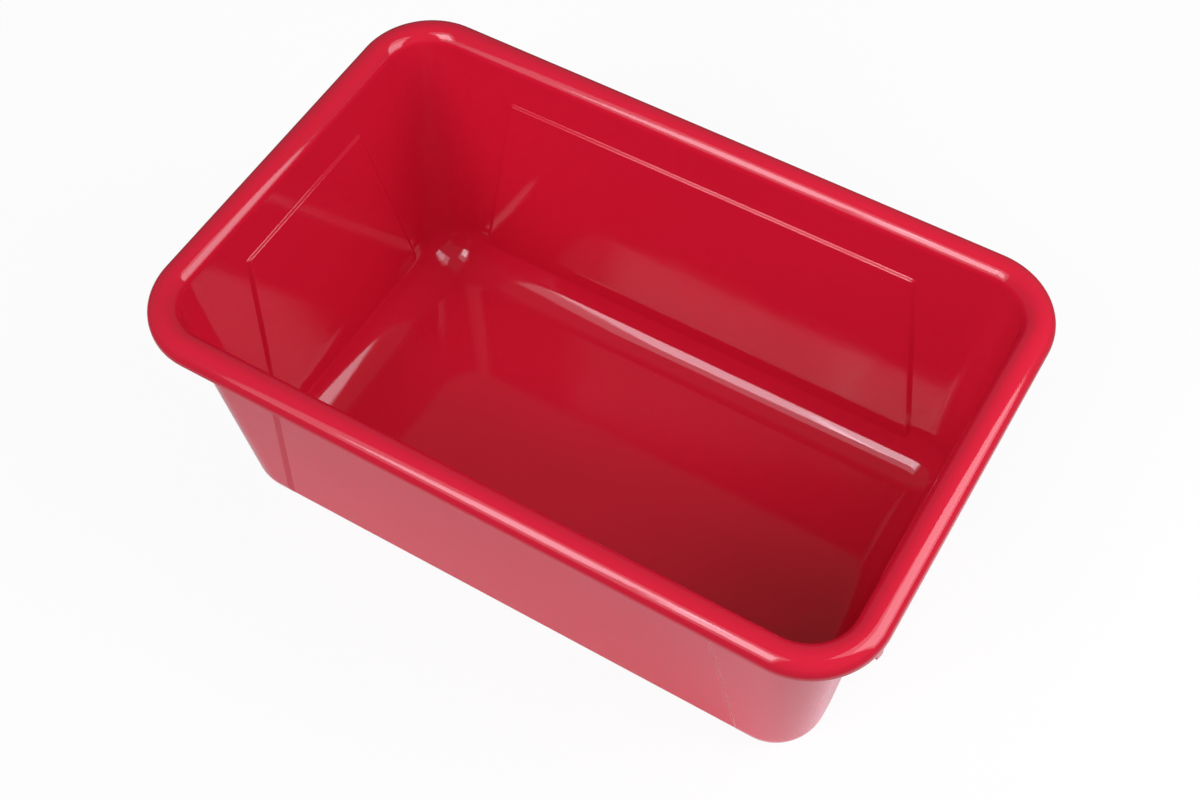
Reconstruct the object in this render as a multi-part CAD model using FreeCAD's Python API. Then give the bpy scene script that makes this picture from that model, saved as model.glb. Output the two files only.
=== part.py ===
"""Open storage tray, one glossy polypropylene moulding, 311 x 200 x 131 mm over its rolled rim.

Frame: X along the length, the front wall at -Y, Z up, origin in the middle of the base.
The moulding is shaped whole, then divided where its floor, walls and rim meet.
All sizes are in millimetres, and angles in degrees.
"""
import FreeCAD
import Part
import math
import os

# Overall size, over the rim
length = 311.0
width = 200.0
height = 131.0

# Moulding
wall = 1.6
floor_thickness = 1.8
draft = 4.6

# Rolled rim: an upside-down U, open underneath
rim_overhang = 10.7      # outer face of the skirt to outer face of the wall, at the top
rim_drop = 8.1           # top of the rim to the lower edge of its skirt

# Corners and base
corner_round = 21.0      # outer radius between two walls, and between walls and base
foot_height = 0.8        # the ring the tray stands on
foot_width = 6.0

# Stepped panels: raised inside, sunk outside, and wider towards the base
panel_depth = 1.2
panel_slope = 2.0        # width of the sloping face at each side of a panel
panel_top_slope = 1.0    # height of the sloping face above a panel
panel_top_drop = 23.0    # top of the rim to the upper edge of the panel, outside
panel_flare = 8.7        # lean of each side edge
long_panel_half = 94.7   # half width at the upper edge, front and back, outside
short_panel_half = 39.4  # half width at the upper edge, both ends, outside

# Lugs under the skirt, which keep nested trays from jamming
lug_height = 3.6
lug_width = 3.6
lug_round = 1.0
lug_beyond_straight = 6.5  # middle of a lug past the straight run of the end skirt

# How far cutting solids reach past what they cut
reach = 5.0

lean = math.tan(math.radians(draft))
flare = math.tan(math.radians(panel_flare))
upright = math.cos(math.radians(draft))
wall_across = wall / upright
rim_foot = height - rim_drop
floor_top = foot_height + floor_thickness
rim_round = (rim_overhang + wall_across) / (1 + 1 / upright - lean)
rim_corner = corner_round + rim_overhang + lean * rim_drop
panel_growth = wall * math.tan(math.atan2(panel_depth, panel_slope) / 2)
panel_top_growth = wall * math.tan(math.atan2(panel_depth, panel_top_slope) / 2)


def vec(x, y, z):
    return FreeCAD.Vector(x, y, z)


def polygon_face(points):
    return Part.Face(Part.makePolygon(points + points[:1]))


def polyhedron(first, second):
    """Solid between two outlines with the same number of corners, whose sides are flat."""
    faces = [polygon_face(first), polygon_face(second)]
    for k in range(len(first)):
        faces.append(polygon_face([first[k - 1], first[k], second[k], second[k - 1]]))
    shell = Part.makeShell(faces)
    shell.sewShape()
    return Part.makeSolid(shell)


def wall_inset(z):
    """Rim's outer edge to the wall's outer face, at height z."""
    return rim_overhang + lean * (height - z)


def base_inset(bottom, inward, radius):
    """Rim's outer edge to where the flat of the floor begins, inside the round."""
    return wall_inset(bottom + radius) + inward + radius / upright


def rectangle(inset, z):
    """Corners of a level rectangle that lies inset from the rim's outer edge."""
    half_x = length / 2 - inset
    half_y = width / 2 - inset
    return [vec(half_x, half_y, z), vec(-half_x, half_y, z), vec(-half_x, -half_y, z), vec(half_x, -half_y, z)]


def rounded_rectangle(inset, radius, z):
    """Closed level wire of four lines and four arcs, inset from the rim's outer edge."""
    edges = []
    for quarter, centre in enumerate(rectangle(inset + radius, z)):
        turns = [math.radians(90 * quarter + 45 * part) for part in range(3)]
        points = [centre + vec(radius * math.cos(turn), radius * math.sin(turn), 0) for turn in turns]
        if edges:
            edges.append(Part.makeLine(edges[-1].lastVertex().Point, points[0]))
        edges.append(Part.Arc(*points).toShape())
    edges.append(Part.makeLine(edges[-1].lastVertex().Point, edges[0].firstVertex().Point))
    return Part.Wire(edges)


def tapered_block(bottom, inward, radius):
    """Solid inside the walls, from the rim's foot down, rounded at its corners and all round its bottom."""
    low = rectangle(wall_inset(bottom) + inward, bottom)[0]
    top = rectangle(wall_inset(rim_foot) + inward, rim_foot)[0]
    block = Part.makeWedge(-low.x, low.z, -low.y, -top.y, -top.x, low.x, top.z, low.y, top.y, top.x)
    block.rotate(vec(0, 0, 0), vec(1, 0, 0), 90)
    rounded = [edge for edge in block.Edges if edge.BoundBox.ZMin < rim_foot - reach]
    return block.makeFillet(radius, rounded)


def panel_outline(half_top, top, depth, side, axis):
    """Corners of a trapezium parallel to one wall, depth below the wall's outer face."""
    spread = -depth * panel_slope / panel_depth
    top -= depth * panel_top_slope / panel_depth
    bottom = -reach
    half_bottom = half_top + flare * (top - bottom)
    corners = [(-half_bottom - spread, bottom), (half_bottom + spread, bottom),
               (half_top + spread, top), (-half_top - spread, top)]
    reach_out = length / 2 if axis == "x" else width / 2
    points = []
    for along, z in corners:
        across = side * (reach_out - wall_inset(z) - depth / upright)
        points.append(vec(across, along, z) if axis == "x" else vec(along, across, z))
    return points


def panel_cutters(inward):
    """One sloping-sided block for each wall, moved inward from the wall's outer face.

    It grows as it moves, so that the wall keeps its thickness through the step.
    """
    share = inward / wall_across
    top = height - panel_top_drop + share * panel_top_growth
    cutters = []
    for axis, half_outside in (("y", long_panel_half), ("x", short_panel_half)):
        half_top = half_outside + share * panel_growth
        for side in (-1, 1):
            mouth = panel_outline(half_top, top, -panel_depth, side, axis)
            seat = panel_outline(half_top, top, panel_depth, side, axis)
            cutter = polyhedron(mouth, seat)
            cutter.translate(vec(-side * inward, 0, 0) if axis == "x" else vec(0, -side * inward, 0))
            cutters.append(cutter)
    return cutters


def tray_shell():
    """Floor and walls in one, with the panels and the hollow under the base."""
    outside = tapered_block(0, 0, corner_round).cut(panel_cutters(0))
    inside = tapered_block(floor_top, wall_across, corner_round - wall).cut(panel_cutters(wall_across))
    hollow_inset = base_inset(0, 0, corner_round) + foot_width
    hollow = Part.Face(rounded_rectangle(hollow_inset, foot_width / 2, 0)).extrude(vec(0, 0, foot_height))
    return outside.cut([inside, hollow])


def floor_block():
    """What is cut out of the shell as the floor: all that lies inside the round."""
    inset = base_inset(0, 0, corner_round)
    return Part.makeBox(length - 2 * inset, width - 2 * inset, height,
                        vec(inset - length / 2, inset - width / 2, 0))


def side_wedges():
    """Four upright blocks, mitred through the corners, that divide the walls."""
    ridge = (length - width) / 2
    far_x = length / 2 + reach
    far_y = width / 2 + reach
    plans = {
        "front_wall": [(-ridge, 0), (-far_x, -far_y), (far_x, -far_y), (ridge, 0)],
        "back_wall": [(ridge, 0), (far_x, far_y), (-far_x, far_y), (-ridge, 0)],
        "right_end_wall": [(ridge, 0), (far_x, -far_y), (far_x, far_y)],
        "left_end_wall": [(-ridge, 0), (-far_x, far_y), (-far_x, -far_y)],
    }
    wedges = {}
    for name, plan in plans.items():
        face = polygon_face([vec(x, y, -reach) for x, y in plan])
        wedges[name] = face.extrude(vec(0, 0, height + reach))
    return wedges


def rim_section():
    """Closed outline of the half-round roll across the front run, from skirt to wall."""
    level = height - rim_round

    def across(inset, z):
        return vec(0, -width / 2 + inset, z)

    def roll(radius):
        """Half-round about the middle of the roll, from the skirt to where it meets the wall."""
        ends = []
        for turn in (math.pi, math.pi / 2, math.radians(draft)):
            ends.append(across(rim_round + radius * math.cos(turn), level + radius * math.sin(turn)))
        return Part.Arc(*ends).toShape()

    outer = roll(rim_round)
    inner = roll(rim_round - wall)
    skirt_out = across(0, rim_foot)
    skirt_in = across(wall, rim_foot)
    wall_out = across(wall_inset(rim_foot), rim_foot)
    wall_in = across(wall_inset(rim_foot) + wall_across, rim_foot)
    return Part.Wire([
        Part.makeLine(skirt_out, outer.firstVertex().Point),
        outer,
        Part.makeLine(outer.lastVertex().Point, wall_in),
        Part.makeLine(wall_in, wall_out),
        Part.makeLine(wall_out, inner.lastVertex().Point),
        inner,
        Part.makeLine(inner.firstVertex().Point, skirt_in),
        Part.makeLine(skirt_in, skirt_out),
    ])


def rolled_rim():
    path = rounded_rectangle(0, rim_corner, rim_foot)
    return path.makePipeShell([rim_section()], True, False)


def nesting_lugs():
    """Four round-ended tabs under the skirt, two at each end, just past the straight run."""
    middle = lug_beyond_straight / rim_corner
    spread = lug_width / rim_corner
    section = polygon_face([vec(rim_corner - wall, 0, 0), vec(rim_corner, 0, 0),
                            vec(rim_corner, 0, -lug_height), vec(rim_corner - wall, 0, -lug_height)])
    tab = section.revolve(vec(0, 0, 0), vec(0, 0, 1), math.degrees(spread))
    ends = [edge for edge in tab.Edges
            if edge.BoundBox.ZMax < -lug_height + 1e-6 and abs(edge.Length - wall) < 1e-6]
    tab = tab.makeFillet(lug_round, ends)
    tab.rotate(vec(0, 0, 0), vec(0, 0, 1), math.degrees(middle - spread / 2))
    tab.translate(vec(length / 2 - rim_corner, width / 2 - rim_corner, rim_foot))
    lugs = []
    for mirror_x in (False, True):
        for mirror_y in (False, True):
            lug = tab.copy()
            if mirror_x:
                lug = lug.mirror(vec(0, 0, 0), vec(1, 0, 0))
            if mirror_y:
                lug = lug.mirror(vec(0, 0, 0), vec(0, 1, 0))
            lugs.append(lug)
    return Part.makeCompound(lugs)


def build():
    shell = tray_shell()
    floor = floor_block()
    nodes = {"floor": shell.common(floor)}
    sides = shell.cut(floor)
    for name, wedge in side_wedges().items():
        nodes[name] = sides.common(wedge)
    nodes["rolled_rim"] = rolled_rim()
    nodes["nesting_lugs"] = nesting_lugs()
    return nodes


os.makedirs("parts", exist_ok=True)
for node_name, shape in build().items():
    shape.exportStep("parts/" + node_name + ".step")
    print(node_name, len(shape.Solids), "solid(s)", round(shape.Volume / 1000, 2), "cm3", shape.isValid())
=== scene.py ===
"""Looks of the open storage tray: one glossy red moulding, lit by two soft boxes on a pale floor.

The skin of the whole moulding is one grid of points, so that it runs smoothly from floor to rim.
It is then divided into the same pieces as the frame: floor, four walls, rolled rim and lugs.
Sizes are in millimetres unless a name or a comment says otherwise. The scene itself is in metres.
"""

import bpy
import math
import numpy as np
from mathutils import Matrix, Vector


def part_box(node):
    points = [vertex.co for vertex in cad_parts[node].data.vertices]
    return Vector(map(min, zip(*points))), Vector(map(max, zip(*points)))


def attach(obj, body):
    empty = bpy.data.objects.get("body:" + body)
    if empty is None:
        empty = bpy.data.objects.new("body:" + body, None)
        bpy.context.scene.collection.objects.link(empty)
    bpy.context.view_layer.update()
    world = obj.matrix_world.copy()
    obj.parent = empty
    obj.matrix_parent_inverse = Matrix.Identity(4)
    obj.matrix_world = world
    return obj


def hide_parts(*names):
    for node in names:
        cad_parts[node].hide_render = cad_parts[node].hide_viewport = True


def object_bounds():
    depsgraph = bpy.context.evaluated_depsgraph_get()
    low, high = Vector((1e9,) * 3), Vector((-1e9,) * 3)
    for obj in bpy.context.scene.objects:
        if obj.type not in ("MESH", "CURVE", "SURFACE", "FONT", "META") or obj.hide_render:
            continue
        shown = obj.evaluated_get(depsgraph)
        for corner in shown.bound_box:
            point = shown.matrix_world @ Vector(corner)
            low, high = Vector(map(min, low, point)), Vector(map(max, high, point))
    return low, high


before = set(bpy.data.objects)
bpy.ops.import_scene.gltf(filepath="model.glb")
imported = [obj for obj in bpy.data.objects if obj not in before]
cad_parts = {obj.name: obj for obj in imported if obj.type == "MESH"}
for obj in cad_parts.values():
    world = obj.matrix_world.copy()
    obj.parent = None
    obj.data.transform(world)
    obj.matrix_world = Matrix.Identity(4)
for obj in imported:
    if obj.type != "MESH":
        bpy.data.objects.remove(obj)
cad_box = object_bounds()

MM = 0.001

# Sizes read from the frame
length, width, height = (cad_box[1] - cad_box[0]) / MM
rim_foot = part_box("rolled_rim")[0].z / MM
floor_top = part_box("floor")[1].z / MM
lug_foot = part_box("nesting_lugs")[0].z / MM

# Moulding
wall = 1.6
draft = math.radians(4.6)
lean = math.tan(draft)
wall_across = wall / math.cos(draft)
rim_overhang = 10.7
rim_round = (rim_overhang + wall_across) / (1 + 1 / math.cos(draft) - lean)
lip_round = 0.7
corner_round = 21.0
rim_corner = corner_round + rim_overhang + lean * (height - rim_foot)
foot_height = 0.8
foot_width = 6.0
foot_edge_round = 0.35
floor_corner = 2.0       # corner radius of the floor's piece, in plan
floor_seam = 0.5         # from the base radius inward to the edge of the floor's piece

# Stepped panels. A pair of values is for the outer face, then the inner face
panel_depth = 1.2
panel_slope = 2.0
panel_top_slope = 1.0
panel_top = height - 23.0
panel_flare = math.tan(math.radians(8.7))
panel_growth = wall * math.tan(math.atan2(panel_depth, panel_slope) / 2)
panel_top_growth = wall * math.tan(math.atan2(panel_depth, panel_top_slope) / 2)
panel_softening = (0.2, 0.1)     # added to a side step's width at each of its edges
panel_rounding = (0.12, 0.2)     # share of a side step that each rounded edge takes up
panel_top_rounding = 0.3         # the same share, for the step above a panel
panel_margin = 0.4               # how far the fine grid of a step reaches past it
panel_blend = 0.3                # how softly a panel runs out into the base radius
long_panel_half = 94.7
short_panel_half = 39.4

# Lugs under the skirt
lug_width = 3.6
lug_round = 1.0
lug_beyond_straight = 6.5
lug_sunk = 0.1           # how much thinner than the skirt on each face
lug_hidden = 1.2         # how far a lug reaches up into the skirt

# Camera, as solved from the photograph
camera_azimuth = 32.038
camera_elevation = 56.436
camera_roll = -1.584
camera_distance = 643.98
camera_target = (23.647, -38.32, height)
camera_lens = 53.073
camera_sensor = 36.0
camera_clip_m = 0.01


# Grid columns round the tray

CORNER_STEPS = 12
BLANK_STEPS = 5
LONG_PANEL_STEPS = 26
SHORT_PANEL_STEPS = 12
HALF_CORNER = math.pi / 4

# Columns across a side step, by shares of its width, close together at its rounded edges
EDGE_SHARES = (0, 0.07, 0.125, 0.17, 0.215, 0.35, 0.5, 0.65, 0.785, 0.83, 0.875, 0.93)


class Side:
    """One wall in plan: its direction along and outward, its half sizes, and the columns of its grid."""

    def __init__(self, along, outward, half_along, half_out, panel_half, panel_steps):
        self.along = np.array(along, float)
        self.outward = np.array(outward, float)
        self.half_along = half_along
        self.half_out = half_out
        self.panel_half = panel_half
        blank, panel = ([step / count for step in range(count)] for count in (BLANK_STEPS, panel_steps))
        zones = (blank, EDGE_SHARES, panel, EDGE_SHARES, blank)
        straight = [zone + share for zone, shares in enumerate(zones) for share in shares]
        self.knots = np.array(straight + [len(zones)])
        turns = [HALF_CORNER * step / CORNER_STEPS for step in range(CORNER_STEPS + 1)]
        self.turn_in = [turn - HALF_CORNER for turn in turns[:-1]]
        self.turn_out = turns[1:-1]

    def columns(self):
        """How many columns the wall takes up, with half a corner at each end."""
        return len(self.turn_in) + len(self.knots) + len(self.turn_out)


SIDES = {
    "front_wall": Side((1, 0), (0, -1), length / 2, width / 2, long_panel_half, LONG_PANEL_STEPS),
    "right_end_wall": Side((0, 1), (1, 0), width / 2, length / 2, short_panel_half, SHORT_PANEL_STEPS),
    "back_wall": Side((-1, 0), (0, 1), length / 2, width / 2, long_panel_half, LONG_PANEL_STEPS),
    "left_end_wall": Side((0, -1), (-1, 0), width / 2, length / 2, short_panel_half, SHORT_PANEL_STEPS),
}

# Column at which each side starts, and how many there are in all
STARTS = np.cumsum([0] + [side.columns() for side in SIDES.values()]).tolist()
COLUMNS = STARTS[-1]


def wall_inset(z):
    """Rim's outer edge to the wall's outer face, at height z."""
    return rim_overhang + lean * (height - z)


def base_inset(bottom, inward, radius):
    """Rim's outer edge to where the flat of the floor begins, inside the base radius."""
    return wall_inset(bottom + radius) + inward + radius / math.cos(draft)


floor_inset = base_inset(0, 0, corner_round) + floor_seam


def eased(x, bend):
    """Ramp from 0 to 1 with rounded ends, each taking up the share called bend."""
    x = min(max(x, 0.0), 1.0)
    if x > 0.5:
        return 1.0 - eased(1.0 - x, bend)
    run = 1.0 - bend
    return x * x / (2 * bend * run) if x < bend else (x - bend / 2) / run


def panel_sink(inside_edge, below_top, inner):
    """How far the panel lies inward of its wall, by distance inside its side edge and below its top edge."""
    soft = panel_softening[inner]
    gap_x = 1.0 - (inside_edge + soft) / (panel_slope + 2 * soft)
    gap_z = 1.0 - below_top / panel_top_slope
    gap = math.hypot(gap_x, gap_z) if gap_x > 0 and gap_z > 0 else max(gap_x, gap_z)
    bend = panel_rounding[inner] if gap_x > gap_z else panel_top_rounding
    return panel_depth * eased(1.0 - gap, bend)


def softer_max(a, b, blend):
    """The larger of two values, rounded where they are closer to each other than blend."""
    meet = max(blend - abs(a - b), 0.0) / blend if blend > 0 else 0.0
    return max(a, b) + meet * meet * blend / 4


def corner_plan(turns, end, out, radius):
    """Points (along, outward) on half a corner, next to the end of a straight run."""
    return [(end + radius * math.sin(turn), out - radius * (1 - math.cos(turn))) for turn in turns]


def ring(z, inset, corner, bend=None, inner=False):
    """Points once round the tray. bend is the base radius's own inset where panels are to show, or None.
    Panels are larger on the inner face, so that the wall keeps its thickness through the step."""
    points = []
    top = panel_top + inner * panel_top_growth
    soft = panel_softening[inner] + panel_margin
    for side in SIDES.values():
        straight = side.half_along - inset - corner
        out = side.half_out - inset
        edge = side.panel_half + inner * panel_growth + panel_flare * (top - min(z, top))
        marks = [straight, edge + soft, edge - panel_slope - soft]
        places = np.interp(side.knots, range(2 * len(marks)), [-mark for mark in marks] + marks[::-1])
        plan = corner_plan(side.turn_in, -straight, out, corner)
        for place in places:
            sunk = 0.0
            if bend is not None:
                depth = panel_sink(edge - abs(place), top - z, inner)
                sunk = softer_max(bend, depth, panel_blend * depth / panel_depth) - bend
            plan.append((place, out - sunk))
        plan += corner_plan(side.turn_out, straight, out, corner)
        for along, outward in plan:
            spot = along * side.along + outward * side.outward
            points.append((spot[0], spot[1], z))
    return points


# Rows from the floor's edge over the rim to the foot ring

ROLL_STEPS = 28
HOLLOW_STEPS = 16
LIP_STEPS = 5
FOOT_STEPS = 4

# Rows on a wall: below the step above a panel, across it, and from there to the rim
BELOW_STEP = 15
ACROSS_STEP = 10
ABOVE_STEP = 3

# Rows up the base radius: before and after the panels' lower crease, and close to it, in degrees
BEFORE_CREASE = 12
AFTER_CREASE = 5
NEAR_CREASE = (2.6, 1.3, 0.6, 0, -0.6, -1.3, -2.6)
CLEAR_OF_CREASE = 5.5


def wall_heights(lowest, inner):
    """Heights of the rows on a wall, above its base radius, close together at the panel's top edge."""
    top = panel_top + inner * panel_top_growth
    upper = top + panel_margin
    lower = top - panel_top_slope - panel_margin
    return np.concatenate([
        np.linspace(lowest, lower, BELOW_STEP + 1)[1:-1],
        np.linspace(lower, upper, ACROSS_STEP + 1),
        np.linspace(upper, rim_foot, ABOVE_STEP + 1)[1:],
    ])


def base_turns(radius):
    """Angles of the rows up the base radius, close together where the panels run into it."""
    crease = math.degrees(draft + math.acos(1 - panel_depth * math.cos(draft) / radius))
    turns = [
        *np.linspace(90, crease + CLEAR_OF_CREASE, BEFORE_CREASE),
        *[crease + step for step in NEAR_CREASE],
        *np.linspace(crease - CLEAR_OF_CREASE, math.degrees(draft), AFTER_CREASE),
    ]
    return [math.radians(turn) for turn in turns]


def wall_rows(bottom, inward, radius):
    """Rings up one face of the walls, from the floor's edge to the rim's foot."""
    inner = inward > 0
    centre_z = bottom + radius
    centre_inset = base_inset(bottom, inward, radius)
    rows = [ring(bottom, floor_inset, floor_corner)]
    for turn in base_turns(radius):
        z = centre_z - radius * math.sin(turn)
        reach = radius * math.cos(turn)
        inset = centre_inset - reach
        corner = math.hypot(reach, floor_corner)
        rows.append(ring(z, inset, corner, inset - wall_inset(z) - inward, inner))
    for z in wall_heights(z, inner):
        rows.append(ring(z, wall_inset(z) + inward, corner, 0.0, inner))
    return rows


def arc(centre, radius, start, end, steps):
    """Points (across, z) on an arc, by angles in degrees from the across direction towards up."""
    turns = [math.radians(start + (end - start) * step / steps) for step in range(steps + 1)]
    return [(centre[0] + radius * math.cos(t), centre[1] + radius * math.sin(t)) for t in turns]


def rim_rows():
    """Rings over the roll, from the inner face of the wall to its outer face, without the two end rings."""
    slant = math.degrees(draft)
    middle = (rim_round, height - rim_round)
    lip_level = rim_foot + lip_round
    profile = arc(middle, rim_round, slant, 180, ROLL_STEPS)
    profile += arc((lip_round, lip_level), lip_round, 180, 270, LIP_STEPS)
    profile += arc((wall - lip_round, lip_level), lip_round, -90, 0, LIP_STEPS)
    profile += arc(middle, rim_round - wall, 180, slant, HOLLOW_STEPS)
    return [ring(z, inset, rim_corner - inset) for inset, z in profile]


def foot_rows():
    """Rings from the foot ring's inner edge to the recess under the floor."""
    inner = base_inset(0, 0, corner_round) + foot_width
    edge = foot_edge_round
    low = arc((inner - edge, edge), edge, -90, 0, FOOT_STEPS)
    high = arc((inner + edge, foot_height - edge), edge, 180, 90, FOOT_STEPS)
    return [ring(z, inset, foot_width / 2) for inset, z in low + high]


# One skin, cut into named pieces

PIECES = ["floor", *SIDES, "rolled_rim"]


def mesh_object(name, points, faces):
    """A mesh object in the scene, from points in metres."""
    mesh = bpy.data.meshes.new(name)
    mesh.from_pydata(points, [], faces)
    mesh.update()
    thing = bpy.data.objects.new(name, mesh)
    bpy.context.collection.objects.link(thing)
    return thing


def neighbours(first=0, last=COLUMNS):
    """Pairs of columns that lie side by side, once round the tray unless first and last say otherwise."""
    return [(column, (column + 1) % COLUMNS) for column in range(first, last)]


def strips(rows, columns, flip=False):
    """Quads between each row of point numbers and the next."""
    quads = []
    for lower, upper in zip(rows, rows[1:]):
        quads += [(lower[a], upper[a], upper[b], lower[b]) for a, b in columns]
    return [quad[::-1] for quad in quads] if flip else quads


class Moulding:
    """Points of the whole skin, and its faces by piece.
    Hidden faces close each piece where it meets the next."""

    def __init__(self):
        self.points = []
        self.shown = {name: [] for name in PIECES}
        self.hidden = {name: [] for name in PIECES}

    def add(self, points):
        """Adds points and returns their numbers."""
        first = len(self.points)
        self.points += points
        return list(range(first, len(self.points)))

    def fill(self, row, flip=False):
        """Quads across the inside of a ring, on points spread evenly between its four sides."""
        loop = row + row[:1]
        front, right, back, left = (loop[first:last + 1] for first, last in zip(STARTS, STARTS[1:]))
        back, left = back[::-1], left[::-1]
        across, deep = len(front) - 1, len(right) - 1
        place = np.array(self.points)
        grid = [front]
        for j in range(1, deep):
            t = j / deep
            line = []
            for i in range(1, across):
                s = i / across
                edges = ((1 - t) * place[front[i]] + t * place[back[i]]
                         + (1 - s) * place[left[j]] + s * place[right[j]])
                corners = ((1 - s) * (1 - t) * place[front[0]] + s * (1 - t) * place[front[-1]]
                           + (1 - s) * t * place[back[0]] + s * t * place[back[-1]])
                line.append(tuple(edges - corners))
            grid.append([left[j]] + self.add(line) + [right[j]])
        grid.append(back)
        columns = [(i, i + 1) for i in range(across)]
        return strips(grid, columns, not flip)

    def normals(self):
        """Smooth normals of the whole skin, each face counted by its area."""
        points = np.array(self.points)
        total = np.zeros_like(points)
        for faces in self.shown.values():
            corners = np.array(faces).T
            a, b, c, d = points[corners]
            turn = np.cross(c - a, d - b)
            for numbers in corners:
                np.add.at(total, numbers, turn)
        return total / np.linalg.norm(total, axis=1, keepdims=True)

    def piece(self, name, smooth):
        """A closed mesh object of one piece, shaded as part of the whole skin."""
        shown = self.shown[name]
        faces = shown + self.hidden[name]
        used = sorted({number for face in faces for number in face})
        place = {number: at for at, number in enumerate(used)}
        points = [tuple(MM * c for c in self.points[n]) for n in used]
        thing = mesh_object(name + "_moulded", points, [tuple(place[n] for n in face) for face in faces])
        mesh = thing.data
        mesh.polygons.foreach_set("use_smooth", [True] * len(faces))
        mesh.update()
        corner_normals = []
        for index, face in enumerate(faces):
            flat = tuple(mesh.polygons[index].normal)
            corner_normals += [tuple(smooth[n]) if index < len(shown) else flat for n in face]
        mesh.normals_split_custom_set(corner_normals)
        return thing


def build_moulding():
    """Floor, four walls and rim as closed pieces of one continuous skin."""
    tray = Moulding()
    inner = [tray.add(row) for row in wall_rows(floor_top, wall_across, corner_round - wall)]
    rim = [tray.add(row) for row in rim_rows()]
    outer = [tray.add(row) for row in wall_rows(0.0, 0.0, corner_round)]
    foot = [tray.add(row) for row in foot_rows()]

    for name, start, end in zip(SIDES, STARTS, STARTS[1:]):
        columns = neighbours(start, end)
        tray.shown[name] += strips(inner, columns)
        tray.shown[name] += strips(outer, columns, flip=True)
        tray.hidden[name] += strips([outer[0], inner[0]], columns)
        tray.hidden[name] += strips([inner[-1], outer[-1]], columns)
        for column, flip in ((start, False), (end % COLUMNS, True)):
            profiles = [[row[column] for row in rows] for rows in (inner, outer)]
            levels = [(level, level + 1) for level in range(len(inner) - 1)]
            tray.hidden[name] += strips(profiles, levels, flip)

    tray.shown["rolled_rim"] += strips([inner[-1], *rim, outer[-1]], neighbours())
    tray.hidden["rolled_rim"] += strips([outer[-1], inner[-1]], neighbours())

    tray.shown["floor"] += tray.fill(inner[0])
    tray.shown["floor"] += strips([outer[0], *foot], neighbours())
    tray.shown["floor"] += tray.fill(foot[-1], flip=True)
    tray.hidden["floor"] += strips([inner[0], outer[0]], neighbours())

    smooth = tray.normals()
    return {name: tray.piece(name, smooth) for name in PIECES}


LUG_STEPS = 6


def build_lugs():
    """Four round-ended tabs that hang from the skirt, two at each end."""
    middle = lug_beyond_straight / rim_corner
    half = lug_width / 2
    top = rim_foot + lug_hidden
    outline = [(-half, top)]
    outline += arc((lug_round - half, lug_foot + lug_round), lug_round, 180, 270, LUG_STEPS)
    outline += arc((half - lug_round, lug_foot + lug_round), lug_round, 270, 360, LUG_STEPS)
    outline.append((half, top))
    count = len(outline)
    tab = [tuple(range(count)), tuple(range(2 * count - 1, count - 1, -1))]
    tab += [(i, i + count, (i + 1) % count + count, (i + 1) % count) for i in range(count)]
    points, faces = [], []
    for mirror_x in (1, -1):
        for mirror_y in (1, -1):
            first = len(points)
            for radius in (rim_corner - lug_sunk, rim_corner - wall + lug_sunk):
                for across, z in outline:
                    turn = middle + across / rim_corner
                    x = length / 2 - rim_corner + radius * math.cos(turn)
                    y = width / 2 - rim_corner + radius * math.sin(turn)
                    points.append((mirror_x * x * MM, mirror_y * y * MM, z * MM))
            for face in tab:
                numbers = [first + n for n in face]
                faces.append(numbers if mirror_x * mirror_y > 0 else numbers[::-1])
    return mesh_object("nesting_lugs_moulded", points, faces)


# Materials

RED = (0.68, 0.0112, 0.038, 1.0)
DEEP_RED = (0.62, 0.0102, 0.033, 1.0)
PLASTIC_IOR = 1.5
GLOSSIEST = 0.05          # lowest roughness of the plastic
DULLEST = 0.09            # highest roughness
WAVE_DEPTH_M = 0.00006
PEEL_DEPTH_M = 0.000003

# Painted shade on the floor: pale inside an oval round the tray and dark farther out, seen by reflected and
# bounced rays but not by the camera
FLOOR_NEAR = 0.86         # tone of the floor inside an oval round the tray
FLOOR_FAR = 0.1           # painted shade: tone where the oval is FLOOR_FAR_TIMES as large
FLOOR_OVAL_M = (0.2, 0.145)
FLOOR_FAR_TIMES = 2.0
FLOOR_ROUGHNESS = 0.9

# How much of the floor is plain white, by the ray that meets it
FLOOR_WHITE = {"Is Camera Ray": 0.92, "Is Glossy Ray": 0.04, "Is Transmission Ray": 0.92}


def new_material(name):
    """A new material, with its nodes and links."""
    material = bpy.data.materials.new(name)
    material.use_nodes = True
    return material, material.node_tree.nodes, material.node_tree.links


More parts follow.
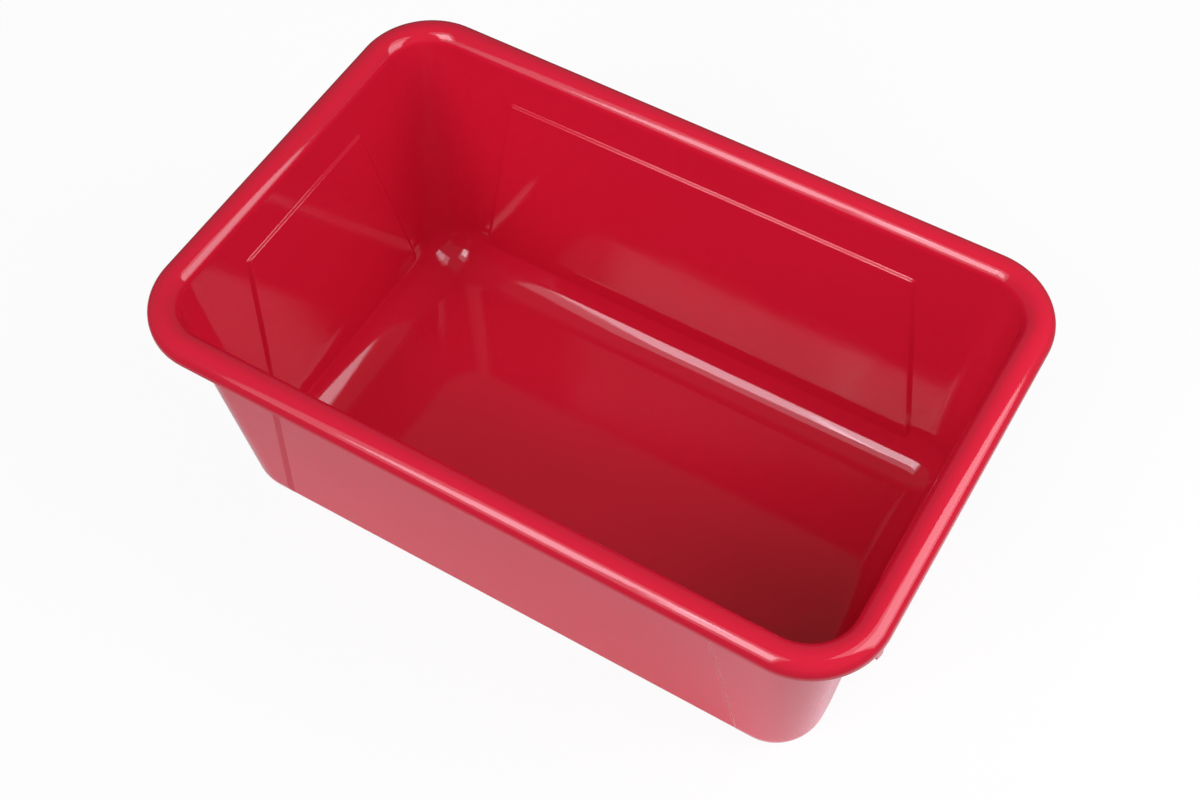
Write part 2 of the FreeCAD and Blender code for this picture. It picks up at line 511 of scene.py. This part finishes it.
def red_plastic():
    """Glossy moulded plastic: faint pigment clouds, uneven gloss, and a slightly wavy skin."""
    material, nodes, links = new_material("glossy_red_plastic")
    shader = nodes["Principled BSDF"]
    shader.inputs["IOR"].default_value = PLASTIC_IOR
    place = nodes.new("ShaderNodeTexCoord").outputs["Object"]

    def noise(scale, detail):
        node = nodes.new("ShaderNodeTexNoise")
        node.inputs["Scale"].default_value = scale
        node.inputs["Detail"].default_value = detail
        links.new(place, node.inputs["Vector"])
        return node.outputs["Fac"]

    clouds = nodes.new("ShaderNodeMix")
    clouds.data_type = "RGBA"
    clouds.inputs["A"].default_value = DEEP_RED
    clouds.inputs["B"].default_value = RED
    links.new(noise(scale=14.0, detail=3.0), clouds.inputs["Factor"])
    links.new(clouds.outputs["Result"], shader.inputs["Base Color"])

    gloss = nodes.new("ShaderNodeMapRange")
    gloss.inputs["To Min"].default_value = GLOSSIEST
    gloss.inputs["To Max"].default_value = DULLEST
    links.new(noise(scale=60.0, detail=5.0), gloss.inputs["Value"])
    links.new(gloss.outputs["Result"], shader.inputs["Roughness"])

    wave = nodes.new("ShaderNodeBump")
    wave.inputs["Distance"].default_value = WAVE_DEPTH_M
    links.new(noise(scale=42.0, detail=1.0), wave.inputs["Height"])
    peel = nodes.new("ShaderNodeBump")
    peel.inputs["Distance"].default_value = PEEL_DEPTH_M
    links.new(noise(scale=900.0, detail=2.0), peel.inputs["Height"])
    links.new(wave.outputs["Normal"], peel.inputs["Normal"])
    links.new(peel.outputs["Normal"], shader.inputs["Normal"])
    return material


def painted_floor_shade(nodes, links):
    """Painted shade on the floor: its tone darkens with distance from the tray, so that reflections in the
    tray show a dark surround.
    """
    place = nodes.new("ShaderNodeTexCoord").outputs["Object"]
    scaled = nodes.new("ShaderNodeVectorMath")
    scaled.operation = "MULTIPLY"
    scaled.inputs[1].default_value = (1 / FLOOR_OVAL_M[0], 1 / FLOOR_OVAL_M[1], 0)
    links.new(place, scaled.inputs[0])
    away = nodes.new("ShaderNodeVectorMath")
    away.operation = "LENGTH"
    links.new(scaled.outputs[0], away.inputs[0])
    tone = nodes.new("ShaderNodeMapRange")
    tone.interpolation_type = "SMOOTHSTEP"
    tone.inputs["From Min"].default_value = 1.0
    tone.inputs["From Max"].default_value = FLOOR_FAR_TIMES
    tone.inputs["To Min"].default_value = FLOOR_NEAR
    tone.inputs["To Max"].default_value = FLOOR_FAR
    links.new(away.outputs["Value"], tone.inputs["Value"])
    return tone.outputs["Result"]


def floor_white(path, nodes, links):
    """Share of the floor that is plain white, by the ray that meets it."""
    total = None
    for ray, share in FLOOR_WHITE.items():
        part = nodes.new("ShaderNodeMath")
        part.operation = "MULTIPLY_ADD"
        part.inputs[1].default_value = share
        part.inputs[2].default_value = 0.0
        links.new(path.outputs[ray], part.inputs[0])
        if total is not None:
            links.new(total, part.inputs[2])
        total = part.outputs[0]
    return total


def mix_shaders(share, first, second, output, nodes, links):
    """Joins two shaders to the output, with the second by its share."""
    mix = nodes.new("ShaderNodeMixShader")
    links.new(share, mix.inputs[0])
    links.new(first.outputs[0], mix.inputs[1])
    links.new(second.outputs[0], mix.inputs[2])
    links.new(mix.outputs[0], nodes[output].inputs["Surface"])


def pale_floor():
    """White to the camera, with the tray's shadow on it. Farther from the tray it carries painted shade,
    which reflections in the tray show as darker.
    """
    material, nodes, links = new_material("pale_floor")
    path = nodes.new("ShaderNodeLightPath")
    # The camera sees the near tone everywhere, and other rays see the painted shade
    seen_tone = nodes.new("ShaderNodeMix")
    seen_tone.inputs["B"].default_value = FLOOR_NEAR
    links.new(path.outputs["Is Camera Ray"], seen_tone.inputs["Factor"])
    links.new(painted_floor_shade(nodes, links), seen_tone.inputs["A"])
    matt = nodes["Principled BSDF"]
    matt.inputs["Roughness"].default_value = FLOOR_ROUGHNESS
    matt.inputs["Specular IOR Level"].default_value = 0.0
    links.new(seen_tone.outputs["Result"], matt.inputs["Base Color"])
    white = nodes.new("ShaderNodeEmission")
    white.inputs["Strength"].default_value = 1.0
    mix_shaders(floor_white(path, nodes, links), matt, white, "Material Output", nodes, links)
    return material


# Stage, light and camera

FLOOR_HALF_M = 6.0
ROOM_TONE = 0.19
BACKDROP_TONE = 0.932
LAMP_TINT = (1.0, 0.975, 1.07)

# Two soft boxes and the brighter fields in front of them, with distances in metres
SOFT_BOXES = {
    "front_soft_box": dict(azimuth=-104.5, elevation=38, distance=2.6, spread=(32, 61), brightness=1.55),
    "front_left_half": dict(azimuth=-110.5, elevation=39.5, distance=2.5, spread=(11.5, 31), brightness=5.7),
    "front_right_half": dict(azimuth=-95.5, elevation=39.5, distance=2.5, spread=(11.5, 31), brightness=6.4),
    "right_soft_box": dict(azimuth=16.5, elevation=38, distance=0.9, spread=(35, 62), brightness=2.1),
    "right_hot_spot": dict(azimuth=18, elevation=36, distance=0.87, spread=(32, 36), brightness=2.4),
}


def build_floor():
    """The wide floor that the tray stands on."""
    half = FLOOR_HALF_M
    corners = [(-half, -half, 0), (half, -half, 0), (half, half, 0), (-half, half, 0)]
    floor = mesh_object("studio_floor", corners, [(0, 1, 2, 3)])
    floor.data.materials.append(pale_floor())


def soft_box(name, azimuth, elevation, distance, spread, brightness):
    """Area lamp that faces the tray. spread is its width and height in degrees as seen from there,
    and brightness is what a mirror would show of it, where white is 1."""
    aim = Vector((0, 0, height * MM / 2))
    turn, rise = math.radians(azimuth), math.radians(elevation)
    direction = Vector((math.cos(turn) * math.cos(rise), math.sin(turn) * math.cos(rise), math.sin(rise)))
    size = [2 * distance * math.tan(math.radians(angle / 2)) for angle in spread]
    lamp = bpy.data.lights.new(name, "AREA")
    lamp.shape = "RECTANGLE"
    lamp.size, lamp.size_y = size
    lamp.color = LAMP_TINT
    lamp.energy = brightness * math.pi * size[0] * size[1]
    box = bpy.data.objects.new(name, lamp)
    box.location = aim + direction * distance
    box.rotation_euler = direction.to_track_quat("Z", "Y").to_euler()
    bpy.context.collection.objects.link(box)


def build_room():
    """A dim room all round, which the camera alone sees as white."""
    world = bpy.data.worlds.new("studio")
    world.use_nodes = True
    nodes, links = world.node_tree.nodes, world.node_tree.links
    room = nodes["Background"]
    backdrop = nodes.new("ShaderNodeBackground")
    for shader, tone in ((room, ROOM_TONE), (backdrop, BACKDROP_TONE)):
        shader.inputs["Color"].default_value = (tone, tone, tone, 1.0)
    path = nodes.new("ShaderNodeLightPath")
    mix_shaders(path.outputs["Is Camera Ray"], room, backdrop, "World Output", nodes, links)
    bpy.context.scene.world = world


def build_camera():
    """Camera where the photograph was taken from. Its azimuth runs from the front towards the right end."""
    turn, rise, roll = (math.radians(a) for a in (camera_azimuth, camera_elevation, camera_roll))
    back = Vector((math.sin(turn) * math.cos(rise), -math.cos(turn) * math.cos(rise), math.sin(rise)))
    level = Vector((math.cos(turn), math.sin(turn), 0))
    upright = back.cross(level)
    right = math.cos(roll) * level + math.sin(roll) * upright
    up = back.cross(right)
    view = bpy.data.cameras.new("camera")
    view.sensor_width = camera_sensor
    view.lens = camera_lens
    view.clip_start = camera_clip_m
    camera = bpy.data.objects.new("camera", view)
    place = Matrix.Translation((Vector(camera_target) + back * camera_distance) * MM)
    camera.matrix_world = place @ Matrix((right, up, back)).transposed().to_4x4()
    bpy.context.collection.objects.link(camera)
    bpy.context.scene.camera = camera


build_camera()
build_floor()
for box_name, box_place in SOFT_BOXES.items():
    soft_box(box_name, **box_place)
build_room()

plastic = red_plastic()
moulded = build_moulding()
moulded["nesting_lugs"] = build_lugs()
for node, thing in moulded.items():
    thing.data.materials.append(plastic)
    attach(thing, "root")
    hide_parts(node)

bpy.context.scene.view_settings.view_transform = "Standard"
